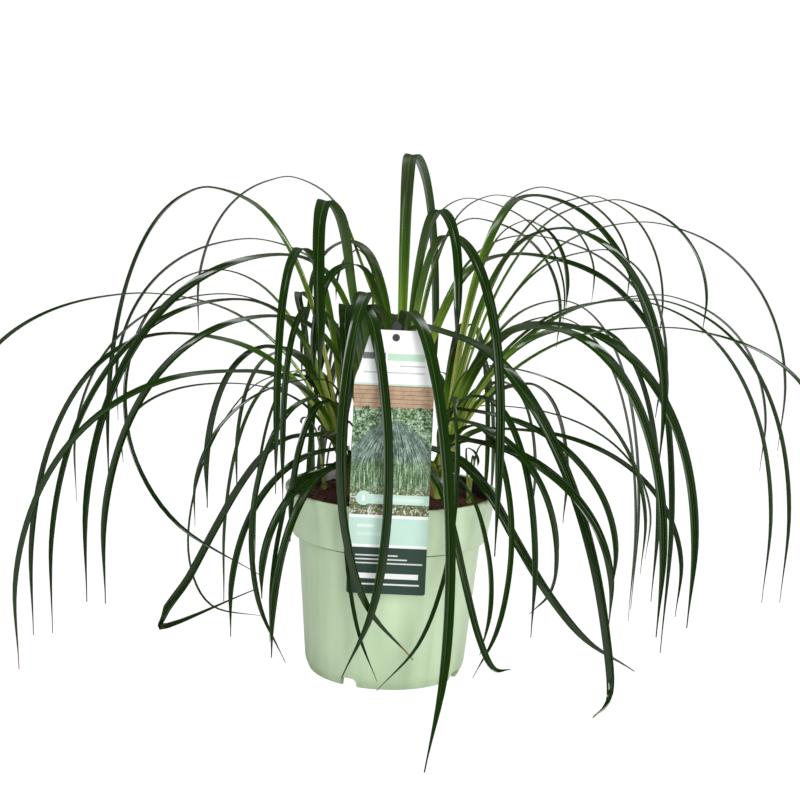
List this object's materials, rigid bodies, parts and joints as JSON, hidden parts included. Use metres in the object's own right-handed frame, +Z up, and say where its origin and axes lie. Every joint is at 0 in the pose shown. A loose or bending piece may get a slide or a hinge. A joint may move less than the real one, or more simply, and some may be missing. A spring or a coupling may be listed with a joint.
{
  "type": "potted sedge plant",
  "caption": "Evergreen grass-like sedge in a tapered nursery pot: tall shoots of narrow keeled leaves that arch out and hang past the rim, with a plain hang label on a stake.",
  "frame": {"origin": "centre of the pot's underside, on the surface it stands on", "axes": "+Z up along the pot's axis, -Y towards the front, where the label hangs, +X to the right of it"},
  "size_m": [0.7594, 0.522, 0.4629],
  "materials": {
    "pot_plastic": "satin",
    "potting_soil": "matte",
    "label_card": "satin",
    "stake_plastic": "satin",
    "leaf": "satin"
  },
  "bodies": {
    "root": {"pot": "pot_plastic", "soil": "potting_soil", "label": "label_card", "label_stake": "stake_plastic", "left_shoot": "leaf", "middle_shoot": "leaf", "centre_shoot": "leaf", "right_shoot": "leaf", "young_left_shoot": "leaf", "young_right_shoot": "leaf"}
  },
  "joints": []
}
